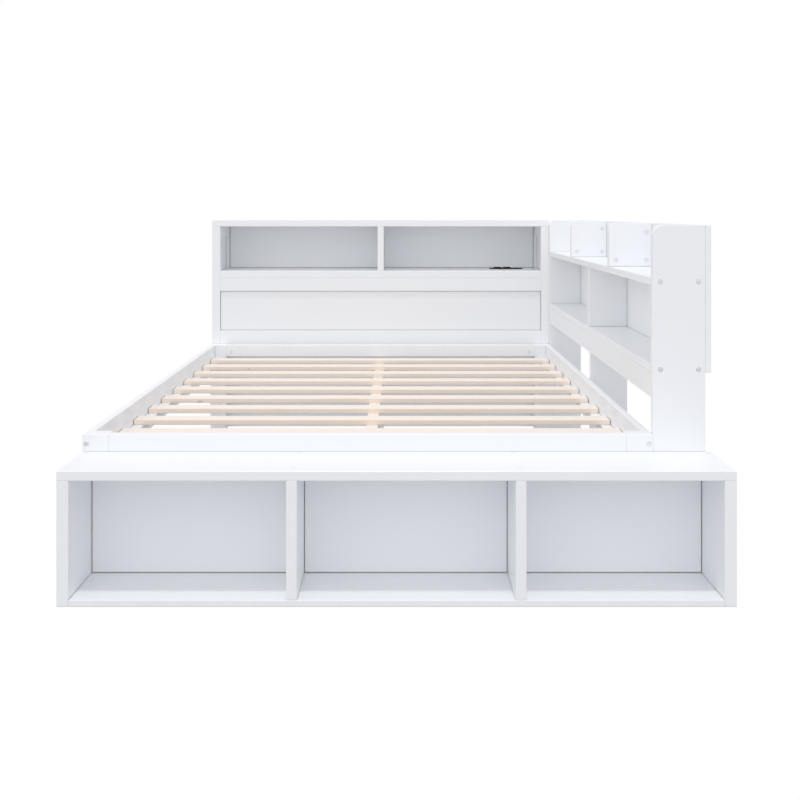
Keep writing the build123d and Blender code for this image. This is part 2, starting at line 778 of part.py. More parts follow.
os.makedirs("parts", exist_ok=True)
for name, solids in parts.items():
    pieces = [piece for solid in solids for piece in solid.solids()]
    shape = pieces[0] if len(pieces) == 1 else Compound(children=pieces)
    shape.label = name
    export_step(shape, "parts/" + name + ".step")
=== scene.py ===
"""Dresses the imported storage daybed: finishes, fasteners, slats, outlet, studio and camera."""

import math

import bmesh
import bpy
from mathutils import Matrix, Vector


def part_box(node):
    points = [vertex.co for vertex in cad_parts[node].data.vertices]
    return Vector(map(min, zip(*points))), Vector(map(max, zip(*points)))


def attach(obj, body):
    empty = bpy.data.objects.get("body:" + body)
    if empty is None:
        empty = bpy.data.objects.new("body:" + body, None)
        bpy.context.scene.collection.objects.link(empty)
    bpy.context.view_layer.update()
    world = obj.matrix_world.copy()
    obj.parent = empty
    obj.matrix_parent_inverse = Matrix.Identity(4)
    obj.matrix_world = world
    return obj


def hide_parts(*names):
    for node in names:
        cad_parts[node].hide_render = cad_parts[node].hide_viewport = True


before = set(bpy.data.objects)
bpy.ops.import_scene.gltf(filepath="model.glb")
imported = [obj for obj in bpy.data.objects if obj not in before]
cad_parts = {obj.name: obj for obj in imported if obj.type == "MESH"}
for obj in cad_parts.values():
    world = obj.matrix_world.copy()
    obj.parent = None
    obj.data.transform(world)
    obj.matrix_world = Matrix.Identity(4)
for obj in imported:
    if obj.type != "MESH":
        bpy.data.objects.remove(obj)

bl_info = {
    "name": "Storage daybed",
    "version": (1, 0, 0),
    "blender": (4, 5, 0),
    "location": "View3D > Sidebar > Daybed",
    "description": "Finishes and fittings of a daybed with a bench, a bookcase and a cubby headboard",
    "category": "Object",
}

BODY = "root"
MM = 0.001
UP, DOWN = Vector((0, 0, 1)), Vector((0, 0, -1))
TOWARDS_FOOT, TOWARDS_HEAD = Vector((0, -1, 0)), Vector((0, 1, 0))
TOWARDS_LEFT, TOWARDS_RIGHT = Vector((-1, 0, 0)), Vector((1, 0, 0))

# Meshes: the corners of a turned ring, the angle from which an edge stays sharp, how near counts
# as the same point or the same end, and the decimals in metres that tell two places apart
RING_POINTS = 32
SHARP_ANGLE = math.radians(35)
SAME_POINT = 0.001 * MM
SAME_END = 0.5 * MM
PLACE_DIGITS = 4

# Driver recesses, as shares of their radius
CROSS_WAIST = 0.34
CROSS_SHARPNESS = 8
SLOT_HALF_WIDTH = 0.14

# A noise texture stays nearly always between these two values
NOISE_LOW, NOISE_HIGH = 0.3, 0.7

# Studio: how high and how narrow the two soft lights are, the floor in metres, and how the
# photo was taken and printed
SOFT_LIGHT_RISE = math.radians(20)
SOFT_LIGHT_FOCUS = 4.0
FLOOR_SIZE = 12.0
SENSOR_WIDTH = 36.0
LENS_SHIFT_X, LENS_SHIFT_Y = 0.000875, -0.2335
VIEW_GAMMA = 1.4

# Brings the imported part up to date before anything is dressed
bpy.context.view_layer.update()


def to_linear(hex_colour):
    """An sRGB hex colour as linear red, green, blue and alpha."""
    channels = [int(hex_colour[start:start + 2], 16) / 255 for start in (1, 3, 5)]
    linear = [c / 12.92 if c <= 0.04045 else ((c + 0.055) / 1.055) ** 2.4 for c in channels]
    return (*linear, 1.0)


def size_property(name, description, millimetres):
    return bpy.props.FloatProperty(
        name=name, description=description, default=millimetres * MM, min=0.0, precision=5, unit="LENGTH"
    )


def colour_property(name, description, hex_colour):
    return bpy.props.FloatVectorProperty(
        name=name, description=description, default=to_linear(hex_colour), size=4,
        min=0.0, max=1.0, subtype="COLOR",
    )


class DaybedColours(bpy.types.PropertyGroup):
    """Colours of the finishes"""

    lacquer: colour_property("Lacquer", "Satin white of every board, post and rail", "#F6F9FD")
    pine: colour_property("Pine, early wood", "Pale wood between the rings of the slats", "#FDF4EC")
    pine_ring: colour_property("Pine, late wood", "Darker wood of the rings", "#EACDAE")
    # Painted bounce light and shade: the warm brown tone given to the slats' sideways faces
    pine_bounce_shade: colour_property("Pine, sawn edge", "Browner wood of the slats' narrow edges", "#FBE3CC")
    pine_knot: colour_property("Pine knot", "Small knots in the slats", "#B98A62")
    zinc: colour_property("Zinc plating", "Bolts, nuts, screws and brackets", "#EEEFF0")
    cap: colour_property("White plastic", "Screw caps and cam covers", "#E3E5EA")
    outlet: colour_property("Black plastic", "Power outlet", "#0B0C0E")
    contact: colour_property("Contact metal", "Tinned contacts inside the USB ports", "#B9B6AE")


class DaybedSizes(bpy.types.PropertyGroup):
    """Sizes of the fittings and of the pine"""

    slat_edge: size_property("Slat edge", "Radius of the slats' long edges", 2.0)
    rail_edge: size_property("Centre rail edge", "Radius of the centre rail's edges", 2.5)
    bolt_rim: size_property("Bolt rim", "Radius of the rim round a bolt head", 6.6)
    nut_rim: size_property("Cross nut rim", "Radius of a cross nut's rim", 5.5)
    screw_head: size_property("Slat screw head", "Radius of a slat screw's head", 3.8)
    cap_rim: size_property("Screw cap rim", "Radius of a bench screw cap", 6.0)
    cam_rim: size_property("Cam rim", "Radius of a cam cover", 7.9)
    ring_spacing: size_property("Ring spacing", "Distance between the growth rings of the pine", 6.0)
    cover_inset: size_property("Cover inset", "From a post to a cam cover on an end rail", 23.0)
    cover_drop: size_property("Cover drop", "From the top of an end rail to a cam cover", 29.0)


class DaybedStudio(bpy.types.PropertyGroup):
    """Lights, floor and camera"""

    surround: bpy.props.FloatProperty(
        name="Surround", description="Strength of the even light from all round", default=0.65, min=0.0
    )
    front_light: bpy.props.FloatProperty(
        name="Front light", description="Strength of the wide soft light in front of the bed",
        default=0.53, min=0.0,
    )
    left_light: bpy.props.FloatProperty(
        name="Left light", description="Strength of the wide soft light on the left",
        default=0.47, min=0.0,
    )
    key: bpy.props.FloatProperty(
        name="Key", description="Strength of the smaller light overhead", default=0.92, min=0.0
    )
    key_tilt: bpy.props.FloatProperty(
        name="Key tilt", description="How far the overhead light leans towards the foot",
        default=math.radians(13), subtype="ANGLE",
    )
    key_softness: bpy.props.FloatProperty(
        name="Key softness", description="Width of the overhead light as seen from the bed",
        default=math.radians(4), subtype="ANGLE",
    )
    sky_tint: colour_property("Sky tint", "Colour of the soft light", "#FDFDFF")
    floor_shade: colour_property("Floor", "Paint of the studio floor", "#B2B2B5")
    eye_height: size_property("Camera height", "Height of the camera over the floor", 918.0)
    eye_distance: size_property("Camera distance", "From the bed's middle to the camera", 3934.0)
    eye_side: size_property("Camera offset", "How far the camera stands to the right", 6.4)
    lens: bpy.props.FloatProperty(
        name="Lens", description="Focal length", default=51.56, min=1.0, subtype="DISTANCE_CAMERA"
    )


# Shader nodes


def new_material(name):
    """An empty node material and its tree."""
    material = bpy.data.materials.new(name)
    material.use_nodes = True
    material.node_tree.nodes.clear()
    return material, material.node_tree


def add_node(tree, kind, inputs=None, **settings):
    """Adds one node, with its settings, and its inputs as values or as sockets to link from."""
    made = tree.nodes.new(kind)
    for name, value in settings.items():
        setattr(made, name, value)
    for name, value in (inputs or {}).items():
        if isinstance(value, bpy.types.NodeSocket):
            tree.links.new(value, made.inputs[name])
        else:
            made.inputs[name].default_value = value
    return made


def axis_scale(axis, along, across):
    """How much a pattern is drawn out along one axis, and across it."""
    return [along if name == axis else across for name in "XYZ"]


def sprayed_lacquer(name, colour, grain=None):
    """Satin lacquer sprayed on board. On solid wood the grain shows through it a little."""
    gloss_wave = 90 * MM
    tone_wave = 350 * MM
    painted_shade_reach = 5 * MM
    peel_width = 3 * MM
    peel_depth = 0.1 * MM
    fibre_width = 3 * MM
    fibre_depth = 0.15 * MM
    material, tree = new_material(name)
    place = add_node(tree, "ShaderNodeTexCoord").outputs["Object"]
    # Spraying leaves slow waves in the gloss, a hand wide, that break up long highlights
    cloud = add_node(
        tree, "ShaderNodeTexNoise", {"Vector": place, "Scale": 1 / gloss_wave, "Detail": 3.0}
    )
    rough = add_node(
        tree, "ShaderNodeMapRange",
        {
            "Value": cloud.outputs["Fac"], "From Min": NOISE_LOW, "From Max": NOISE_HIGH,
            "To Min": 0.30, "To Max": 0.37,
        },
    )
    # The coat is never quite even in tone: under one part in fifty over a forearm's length
    tone = add_node(tree, "ShaderNodeTexNoise", {"Vector": place, "Scale": 1 / tone_wave, "Detail": 2.0})
    darker = [channel * 0.985 for channel in colour[:3]] + [1.0]
    paint = add_node(
        tree, "ShaderNodeMix", {0: tone.outputs["Fac"], 6: darker, 7: colour}, data_type="RGBA"
    )
    # Painted shade: paint darkens where surfaces close it in, in joints and inside corners, as fine grey
    # lines
    open_sky = add_node(tree, "ShaderNodeAmbientOcclusion", {"Distance": painted_shade_reach}, samples=6)
    joint = add_node(
        tree, "ShaderNodeMapRange",
        {
            "Value": open_sky.outputs["AO"], "From Min": 0.3, "From Max": 0.8,
            "To Min": 0.42, "To Max": 1.0,
        },
    )
    paint = add_node(
        tree, "ShaderNodeVectorMath", {0: paint.outputs[2], "Scale": joint.outputs["Result"]},
        operation="SCALE",
    )
    # Orange peel is 1 to 2 mm across. It is drawn at 3 mm so that it shows in the render.
    peel = add_node(tree, "ShaderNodeTexNoise", {"Vector": place, "Scale": 1 / peel_width, "Detail": 1.0})
    relief = add_node(
        tree, "ShaderNodeBump",
        {"Height": peel.outputs["Fac"], "Strength": 0.04, "Distance": peel_depth},
    ).outputs["Normal"]
    if grain:
        # Grain of solid wood under the paint: fibres 3 mm wide, forty times as long
        drawn = add_node(
            tree, "ShaderNodeVectorMath", {0: place, 1: axis_scale(grain, 0.025, 1.0)},
            operation="MULTIPLY",
        )
        fibre = add_node(
            tree, "ShaderNodeTexNoise",
            {"Vector": drawn.outputs[0], "Scale": 1 / fibre_width, "Detail": 4.0},
        )
        relief = add_node(
            tree, "ShaderNodeBump",
            {"Height": fibre.outputs["Fac"], "Strength": 0.1, "Distance": fibre_depth, "Normal": relief},
        ).outputs["Normal"]
    shader = add_node(
        tree, "ShaderNodeBsdfPrincipled",
        {
            "Base Color": paint.outputs[0], "Roughness": rough.outputs["Result"], "IOR": 1.5,
            "Normal": relief,
        },
    )
    add_node(tree, "ShaderNodeOutputMaterial", {"Surface": shader.outputs["BSDF"]})
    return material


def planed_pine(name, colours, ring_spacing, along):
    """Bare planed pine, its rings running along one axis."""
    heart_wander = 22 * MM
    fibre_width = 1.2 * MM
    fibre_depth = 0.15 * MM
    knot_spacing = 260 * MM
    material, tree = new_material(name)
    place = add_node(tree, "ShaderNodeTexCoord").outputs["Object"]
    # Every board is cut from another part of the log, so each one shifts the pattern
    shift = add_node(tree, "ShaderNodeAttribute", attribute_name="log_place").outputs["Vector"]
    log = add_node(tree, "ShaderNodeVectorMath", {0: place, 1: shift}, operation="ADD").outputs[0]
    # The log isn't straight: its heart wanders slowly, with two waves to a metre of its length
    bend_place = add_node(
        tree, "ShaderNodeVectorMath", {0: log, 1: axis_scale(along, 2.0, 9.0)}, operation="MULTIPLY"
    )
    bend = add_node(
        tree, "ShaderNodeTexNoise", {"Vector": bend_place.outputs[0], "Scale": 1.0, "Detail": 2.0}
    )
    wander = add_node(
        tree, "ShaderNodeVectorMath", {0: bend.outputs["Color"], "Scale": heart_wander},
        operation="SCALE",
    )
    bent = add_node(tree, "ShaderNodeVectorMath", {0: log, 1: wander.outputs[0]}, operation="ADD")
    # The wave repeats each 2 pi / 20 of its own length
    rings = add_node(
        tree, "ShaderNodeTexWave",
        {
            "Vector": bent.outputs[0], "Scale": 2 * math.pi / (20 * ring_spacing), "Distortion": 1.2,
            "Detail": 2.0, "Detail Scale": 0.4, "Detail Roughness": 0.6,
        },
        wave_type="RINGS", rings_direction=along, wave_profile="SAW",
    )
    # Early wood is wide and pale, and late wood a narrow dark line that ends each ring
    late = add_node(
        tree, "ShaderNodeMapRange",
        {"Value": rings.outputs["Fac"], "From Min": 0.45, "From Max": 1.0, "To Min": 0.0, "To Max": 0.8},
        interpolation_type="SMOOTHSTEP",
    )
    wood = add_node(
        tree, "ShaderNodeMix",
        {0: late.outputs["Result"], 6: colours["pine"], 7: colours["pine_ring"]}, data_type="RGBA",
    )
    # Painted bounce light and shade: faces that look sideways, not up or down, turn warmer and browner
    facing_way = add_node(tree, "ShaderNodeNewGeometry").outputs["True Normal"]
    upright = add_node(tree, "ShaderNodeSeparateXYZ", {0: facing_way}).outputs["Z"]
    level = add_node(tree, "ShaderNodeMath", {0: upright}, operation="ABSOLUTE")
    planed = add_node(
        tree, "ShaderNodeMapRange",
        {"Value": level.outputs[0], "From Min": 0.45, "From Max": 0.95, "To Min": 0.0, "To Max": 1.0},
        interpolation_type="SMOOTHSTEP",
    )
    bounce_shaded = add_node(
        tree, "ShaderNodeMix", {0: 0.85, 6: wood.outputs[2], 7: colours["pine_bounce_shade"]}, data_type="RGBA"
    )
    wood = add_node(
        tree, "ShaderNodeMix", {0: planed.outputs["Result"], 6: bounce_shaded.outputs[2], 7: wood.outputs[2]},
        data_type="RGBA",
    )
    # Fibres are a tenth of a millimetre wide. They are drawn 1.2 mm wide so that they show.
    drawn = add_node(
        tree, "ShaderNodeVectorMath", {0: log, 1: axis_scale(along, 0.02, 1.0)}, operation="MULTIPLY"
    )
    fibre = add_node(
        tree, "ShaderNodeTexNoise", {"Vector": drawn.outputs[0], "Scale": 1 / fibre_width, "Detail": 5.0}
    )
    fibre_shade = add_node(
        tree, "ShaderNodeMapRange",
        {
            "Value": fibre.outputs["Fac"], "From Min": 0.35, "From Max": 0.75,
            "To Min": 1.0, "To Max": 0.9,
        },
    )
    fibred = add_node(
        tree, "ShaderNodeVectorMath",
        {0: wood.outputs[2], "Scale": fibre_shade.outputs["Result"]}, operation="SCALE",
    )
    # A small knot now and then, drawn out along the board, with a soft darker edge
    knot_place = add_node(
        tree, "ShaderNodeVectorMath", {0: log, 1: axis_scale(along, 1.0, 2.0)}, operation="MULTIPLY"
    )
    cells = add_node(
        tree, "ShaderNodeTexVoronoi", {"Vector": knot_place.outputs[0], "Scale": 1 / knot_spacing}
    )
    knot = add_node(
        tree, "ShaderNodeMapRange",
        {
            "Value": cells.outputs["Distance"], "From Min": 0.055, "From Max": 0.02,
            "To Min": 0.0, "To Max": 0.55,
        },
        interpolation_type="SMOOTHSTEP",
    )
    knotted = add_node(
        tree, "ShaderNodeMix",
        {0: knot.outputs["Result"], 6: fibred.outputs[0], 7: colours["pine_knot"]}, data_type="RGBA",
    )
    relief = add_node(
        tree, "ShaderNodeBump",
        {"Height": fibre.outputs["Fac"], "Strength": 0.25, "Distance": fibre_depth},
    )
    shader = add_node(
        tree, "ShaderNodeBsdfPrincipled",
        {
            "Base Color": knotted.outputs[2], "Roughness": 0.62, "IOR": 1.45,
            "Normal": relief.outputs["Normal"],
        },
    )
    add_node(tree, "ShaderNodeOutputMaterial", {"Surface": shader.outputs["BSDF"]})
    return material


def plated_steel(name, colour, roughness):
    """Zinc plated steel. The bath leaves cloudy patches, so the shine is uneven."""
    cloud_width = 4 * MM
    material, tree = new_material(name)
    place = add_node(tree, "ShaderNodeTexCoord").outputs["Object"]
    cloud = add_node(
        tree, "ShaderNodeTexNoise", {"Vector": place, "Scale": 1 / cloud_width, "Detail": 3.0}
    )
    rough = add_node(
        tree, "ShaderNodeMapRange",
        {
            "Value": cloud.outputs["Fac"], "From Min": NOISE_LOW, "From Max": NOISE_HIGH,
            "To Min": roughness - 0.06, "To Max": roughness + 0.08,
        },
    )
    dull = [channel * 0.86 for channel in colour[:3]] + [1.0]
    tone = add_node(
        tree, "ShaderNodeMix", {0: cloud.outputs["Fac"], 6: colour, 7: dull}, data_type="RGBA"
    )
    shader = add_node(
        tree, "ShaderNodeBsdfPrincipled",
        {"Base Color": tone.outputs[2], "Metallic": 1.0, "Roughness": rough.outputs["Result"]},
    )
    add_node(tree, "ShaderNodeOutputMaterial", {"Surface": shader.outputs["BSDF"]})
    return material


def moulded_plastic(name, colour, roughness, shine):
    """Injection moulded plastic. The spark eroded mould gives it a fine, even, dull texture."""
    grit_width = 0.6 * MM
    grit_depth = 0.03 * MM
    material, tree = new_material(name)
    place = add_node(tree, "ShaderNodeTexCoord").outputs["Object"]
    # Mould grit is about 0.1 mm. It is drawn at 0.6 mm so that it shows in a close view.
    grit = add_node(tree, "ShaderNodeTexNoise", {"Vector": place, "Scale": 1 / grit_width, "Detail": 2.0})
    rough = add_node(
        tree, "ShaderNodeMapRange",
        {
            "Value": grit.outputs["Fac"], "From Min": NOISE_LOW, "From Max": NOISE_HIGH,
            "To Min": roughness - 0.05, "To Max": roughness + 0.05,
        },
    )
    pale = [min(1.0, channel * 1.06) for channel in colour[:3]] + [1.0]
    tone = add_node(
        tree, "ShaderNodeMix", {0: grit.outputs["Fac"], 6: colour, 7: pale}, data_type="RGBA"
    )
    relief = add_node(
        tree, "ShaderNodeBump",
        {"Height": grit.outputs["Fac"], "Strength": 0.3, "Distance": grit_depth},
    )
    shader = add_node(
        tree, "ShaderNodeBsdfPrincipled",
        {
            "Base Color": tone.outputs[2], "Roughness": rough.outputs["Result"], "IOR": 1.54,
            "Specular IOR Level": shine, "Normal": relief.outputs["Normal"],
        },
    )
    add_node(tree, "ShaderNodeOutputMaterial", {"Surface": shader.outputs["BSDF"]})
    return material


def finish(name):
    """The named finish, made the first time that a piece asks for it."""
    if name in bpy.data.materials:
        return bpy.data.materials[name]
    colours = bpy.context.scene.daybed_colours
    sizes = bpy.context.scene.daybed_sizes
    lacquer = list(colours.lacquer)
    pine = {key: list(getattr(colours, key)) for key in ("pine", "pine_ring", "pine_bounce_shade", "pine_knot")}
    makers = {
        "lacquered_board": lambda: sprayed_lacquer(name, lacquer),
        "lacquered_wood_across": lambda: sprayed_lacquer(name, lacquer, "X"),
        "lacquered_wood_along": lambda: sprayed_lacquer(name, lacquer, "Y"),
        "lacquered_wood_upright": lambda: sprayed_lacquer(name, lacquer, "Z"),
        "planed_pine_across": lambda: planed_pine(name, pine, sizes.ring_spacing, "X"),
        "planed_pine_along": lambda: planed_pine(name, pine, sizes.ring_spacing, "Y"),
        "zinc_plated_steel": lambda: plated_steel(name, list(colours.zinc), 0.30),
        "tinned_contact": lambda: plated_steel(name, list(colours.contact), 0.22),
        "moulded_white_plastic": lambda: moulded_plastic(name, list(colours.cap), 0.42, 0.5),
        "moulded_black_plastic": lambda: moulded_plastic(name, list(colours.outlet), 0.55, 0.12),
    }
    return makers[name]()


# Meshes


def box_of(points):
    """The lowest and highest corner of some points."""
    lo = Vector([min(point[axis] for point in points) for axis in range(3)])
    hi = Vector([max(point[axis] for point in points) for axis in range(3)])
    return lo, hi


def solids_of(node):
    """The corner points of each separate solid of a CAD node, in a steady order."""
    mesh = bmesh.new()
    mesh.from_mesh(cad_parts[node].data)
    bmesh.ops.remove_doubles(mesh, verts=mesh.verts, dist=SAME_POINT)
    waiting = set(mesh.verts)
    solids = []
    while waiting:
        found, edge = set(), [waiting.pop()]
        while edge:
            vertex = edge.pop()
            found.add(vertex)
            for line in vertex.link_edges:
                other = line.other_vert(vertex)
                if other in waiting:
                    waiting.discard(other)
                    edge.append(other)
        solids.append([vertex.co.copy() for vertex in found])
    mesh.free()

    def corners(points):
        return [round(value, PLACE_DIGITS) for corner in box_of(points) for value in corner]

    return sorted(solids, key=corners)


def head_of(points):
    """The middle of a headed fastener's wide end, and the way that this end looks."""
    lo, hi = box_of(points)
    axis = max(range(3), key=lambda index: hi[index] - lo[index])
    others = [index for index in range(3) if index != axis]
    spreads = {}
    for sign, end in ((-1, lo[axis]), (1, hi[axis])):
        near = [point for point in points if abs(point[axis] - end) < SAME_END]
        low, high = box_of(near)
        spreads[sign] = sum(high[index] - low[index] for index in others)
    sign = max(spreads, key=spreads.get)
    outward = Vector((0, 0, 0))
    outward[axis] = sign
    head = (lo + hi) / 2
    head[axis] = hi[axis] if sign > 0 else lo[axis]
    return head, outward


def end_of(points, outward):
    """The middle of a solid's end that looks one way."""
    lo, hi = box_of(points)
    middle, half = (lo + hi) / 2, (hi - lo) / 2
    return middle + Vector([half[axis] * outward[axis] for axis in range(3)])


def facing(point, outward):
    """Places what is drawn round +Z, with its face at height zero, at a point, looking outward."""
    return Matrix.Translation(point) @ outward.to_track_quat("Z", "Y").to_matrix().to_4x4()


def reach(shape, turn):
    """How far an outline reaches from its middle at one turn, as a share of its radius."""
    if shape == "hexagon":
        return math.cos(math.pi / 6) / math.cos(turn % (math.pi / 3) - math.pi / 6)
    if shape == "cross":
        return max(CROSS_WAIST, abs(math.cos(2 * turn)) ** CROSS_SHARPNESS)
    if shape == "slot":
        return SLOT_HALF_WIDTH / max(abs(math.sin(turn)), SLOT_HALF_WIDTH)
    return 1.0


def turned(mesh, place, steps):
    """A closed turned solid. Each step is (radius, height, outline) in mm, along its skin."""
    rings = []
    for radius, height, *shape in steps:
        outline = shape[0] if shape else "round"
        ring = []
        for index in range(RING_POINTS):
            turn = 2 * math.pi * index / RING_POINTS
            span = radius * MM * reach(outline, turn)
            point = Vector((span * math.cos(turn), span * math.sin(turn), height * MM))
            ring.append(mesh.verts.new(place @ point))
        rings.append(ring)
    mesh.faces.new(list(reversed(rings[0])))
    mesh.faces.new(rings[-1])
    for lower, upper in zip(rings, rings[1:]):
        for index in range(RING_POINTS):
            after = (index + 1) % RING_POINTS
            mesh.faces.new((lower[index], lower[after], upper[after], upper[index]))


def bar(mesh, lo, hi, radius, segments=3):
    """A bar between two corners, with all its edges rounded."""
    made = bmesh.ops.create_cube(mesh, size=1.0)["verts"]
    for vertex in made:
        for axis in range(3):
            vertex.co[axis] = hi[axis] if vertex.co[axis] > 0 else lo[axis]
    edges = {edge for vertex in made for edge in vertex.link_edges}
    bmesh.ops.bevel(
        mesh, geom=list(edges), offset=radius, offset_type="OFFSET", segments=segments, profile=0.5,
        affect="EDGES", clamp_overlap=True,
    )


def new_piece(name, mesh, look, replaced=()):
    """Turns a mesh into a named piece with one finish, that rides on the bed and stands for its nodes."""
    bmesh.ops.recalc_face_normals(mesh, faces=mesh.faces)
    data = bpy.data.meshes.new(name)
    mesh.to_mesh(data)
    mesh.free()
    if not data.polygons:
        raise RuntimeError(name + " has no faces")
    data.materials.append(finish(look))
    data.shade_smooth()
    data.set_sharp_from_angle(angle=SHARP_ANGLE)
    piece = bpy.data.objects.new(name, data)
    bpy.context.scene.collection.objects.link(piece)
    evened = piece.modifiers.new("even_shading", "WEIGHTED_NORMAL")
    evened.keep_sharp = True
    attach(piece, BODY)
    if replaced:
        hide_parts(*replaced)
    return piece


def carve(piece, cutters):
    """Takes the cutter meshes out of a piece, and keeps the result as its mesh."""
    tool_data = bpy.data.meshes.new("cutter")
    cutters.to_mesh(tool_data)
    cutters.free()
    tool = bpy.data.objects.new("cutter", tool_data)
    bpy.context.scene.collection.objects.link(tool)
    cut = piece.modifiers.new("cut", "BOOLEAN")
    cut.operation, cut.solver, cut.object = "DIFFERENCE", "EXACT", tool
    # The solids of one mesh may overlap, as a socket's face and its collar do
    cut.use_self = True
    piece.modifiers.move(len(piece.modifiers) - 1, 0)
    evened = piece.modifiers["even_shading"]
    evened.show_viewport = False
    bpy.context.view_layer.update()
    result = bpy.data.meshes.new_from_object(piece.evaluated_get(bpy.context.evaluated_depsgraph_get()))
    evened.show_viewport = True
    piece.modifiers.remove(cut)
    piece.data = result
    bpy.data.objects.remove(tool)
    if not result.polygons:
        raise RuntimeError(piece.name + " was cut away")


def place_in_log(index):
    """Where a board is cut: further along the log each time, and in shuffled steps across it."""
    along = 370 * MM * index
    across = 61 * MM * (index * 7 % 5) - 120 * MM
    up = 31 * MM * (index * 3 % 4) - 290 * MM
    return along, across, up


def mark_boards(mesh, boxes):
    """Gives each board of a mesh its own place in the log, so that no two have the same grain."""
    layer = mesh.verts.layers.float_vector.new("log_place")
    for vertex in mesh.verts:
        for index, (lo, hi) in enumerate(boxes):
            if all(lo[axis] - MM <= vertex.co[axis] <= hi[axis] + MM for axis in range(3)):
                vertex[layer] = place_in_log(index)


# Skins of the turned fasteners, in mm, from the hidden end to the middle of the face.
# Height zero is the face of the board that they sit in.
CROSS_HEAD = (
    (2.0, 0.0), (3.8, 0.0), (4.0, 0.25), (3.7, 0.7), (2.9, 1.1), (2.3, 1.2),
    (2.2, 1.2, "cross"), (2.0, 0.9, "cross"), (0.9, -0.6, "cross"),
)


def bolt_skin(length, rim):
    """A joint bolt: shank, flanged head let in flush, a groove round its face and a hexagon socket."""
    return (
        (2.3, -length), (2.6, -length + 0.6), (2.6, -4.0), (5.2, -4.0), (5.2, 0.0), (rim - 0.1, 0.0),
        (rim, 0.1), (rim - 0.2, 0.3), (rim - 0.7, 0.35), (rim - 1.0, 0.0), (rim - 1.2, -0.8),
        (rim - 1.9, -0.8), (rim - 2.1, 0.1), (rim - 2.4, 0.25), (2.0, 0.3, "hexagon"),
        (1.8, 0.1, "hexagon"), (1.8, -1.6, "hexagon"),
    )


def nut_skin(length, rim):
    """A cross nut: a short barrel with a driver slot in its face."""
    return (
        (3.9, -length), (4.3, -length + 0.5), (4.3, 0.0), (rim - 0.1, 0.0), (rim, 0.15),
        (rim - 0.3, 0.4), (rim - 0.9, 0.4), (rim - 1.3, 0.1), (4.0, 0.1, "slot"),
        (4.0, -0.1, "slot"), (3.8, -1.4, "slot"),
    )


def slat_screw_skin(length, rim):
    """A slat screw: countersunk head, a touch proud, with a cross recess."""
    return (
        (0.6, -length), (2.1, -length + 4.0), (2.1, 0.0), (rim - 0.1, 0.0), (rim, 0.12),
        (rim - 0.4, 0.35), (rim - 1.4, 0.45), (2.3, 0.42, "cross"), (2.1, 0.2, "cross"),
        (0.9, -1.6, "cross"),
    )


def bench_screw_skin(length):
    """A bench screw, whose head is under a cap or under the bench."""
    return (
        (1.0, -length), (2.3, -length + 5.0), (2.3, -3.0), (4.2, -3.0), (4.2, -0.2), (4.0, 0.0),
        (2.9, 0.0, "hexagon"), (2.7, -0.2, "hexagon"), (2.7, -2.4, "hexagon"),
    )


def cap_skin(thickness, rim):
    """A screw cap: a stem in the counterbore under a low domed disc."""
    return (
        (4.9, -thickness), (5.1, -thickness + 0.3), (5.1, 0.0), (rim - 0.1, 0.0), (rim, 0.15),
        (rim - 0.15, 0.4), (rim - 0.7, 0.65), (rim - 2.0, 0.85), (rim - 4.0, 0.95), (0.6, 1.0),
    )


def cam_skin(depth, rim):
    """A cam lock: a drum with a raised rim, a sunk face and a cross recess."""
    return (
        (6.8, -depth), (7.1, -depth + 0.4), (7.1, 0.0), (rim - 0.1, 0.0), (rim, 0.1), (rim - 0.2, 0.3),
        (rim - 0.8, 0.35), (rim - 1.2, 0.1), (rim - 1.5, -0.5), (rim - 1.9, -0.6), (3.6, -0.6, "cross"),
        (3.4, -0.9, "cross"), (2.4, -4.0, "cross"),
    )


def cover_skin(rim):
    """A thin press-in cover over a cam."""
    return (
        (rim - 0.1, 0.0), (rim, 0.1), (rim - 0.2, 0.4), (rim - 0.7, 0.5), (rim - 3.0, 0.6), (0.6, 0.62),
    )


def length_of(points):
    """The longest side of a solid, in mm."""
    lo, hi = box_of(points)
    return max(hi - lo) / MM


# The pieces


class DAYBED_OT_boards(bpy.types.Operator):
    """Finishes the boards, posts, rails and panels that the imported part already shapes"""

    bl_idname = "daybed.boards"
    bl_label = "Lacquered boards"
    bl_options = {"REGISTER", "UNDO"}

    finishes = {
        "lacquered_wood_across": (
            "foot_rail", "head_rail", "headboard_upper_rail", "headboard_lower_rail",
            "headboard_rear_stretcher",
        ),
        "lacquered_wood_along": (
            "side_rail_left", "side_rail_right", "slat_cleat_left", "slat_cleat_right", "bookcase_apron",
            "headboard_side_rails_left", "headboard_side_rails_right",
        ),
        "lacquered_wood_upright": (
            "foot_post_left", "foot_post_right", "head_post_left", "head_post_right", "centre_legs",
            "headboard_stile_left", "headboard_stile_right", "headboard_rear_post_left",
            "headboard_rear_post_right",
        ),
        "planed_pine_across": ("dowels",),
        "moulded_black_plastic": ("outlet_housing",),
    }

    def execute(self, context):
        named = {node: name for name, nodes in self.finishes.items() for node in nodes}
        for node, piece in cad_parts.items():
            piece.data.materials.clear()
            piece.data.materials.append(finish(named.get(node, "lacquered_board")))
        return {"FINISHED"}


class DAYBED_OT_slats(bpy.types.Operator):
    """Makes the pine slats with rounded edges, each from its own part of the log"""

    bl_idname = "daybed.slats"
    bl_label = "Slats"
    bl_options = {"REGISTER", "UNDO"}

    def execute(self, context):
        sizes = context.scene.daybed_sizes
        boxes = [box_of(points) for points in solids_of("slats")]
        mesh = bmesh.new()
        for lo, hi in boxes:
            bar(mesh, lo, hi, sizes.slat_edge)
        mark_boards(mesh, boxes)
        new_piece("pine_slats", mesh, "planed_pine_across", ["slats"])
        return {"FINISHED"}


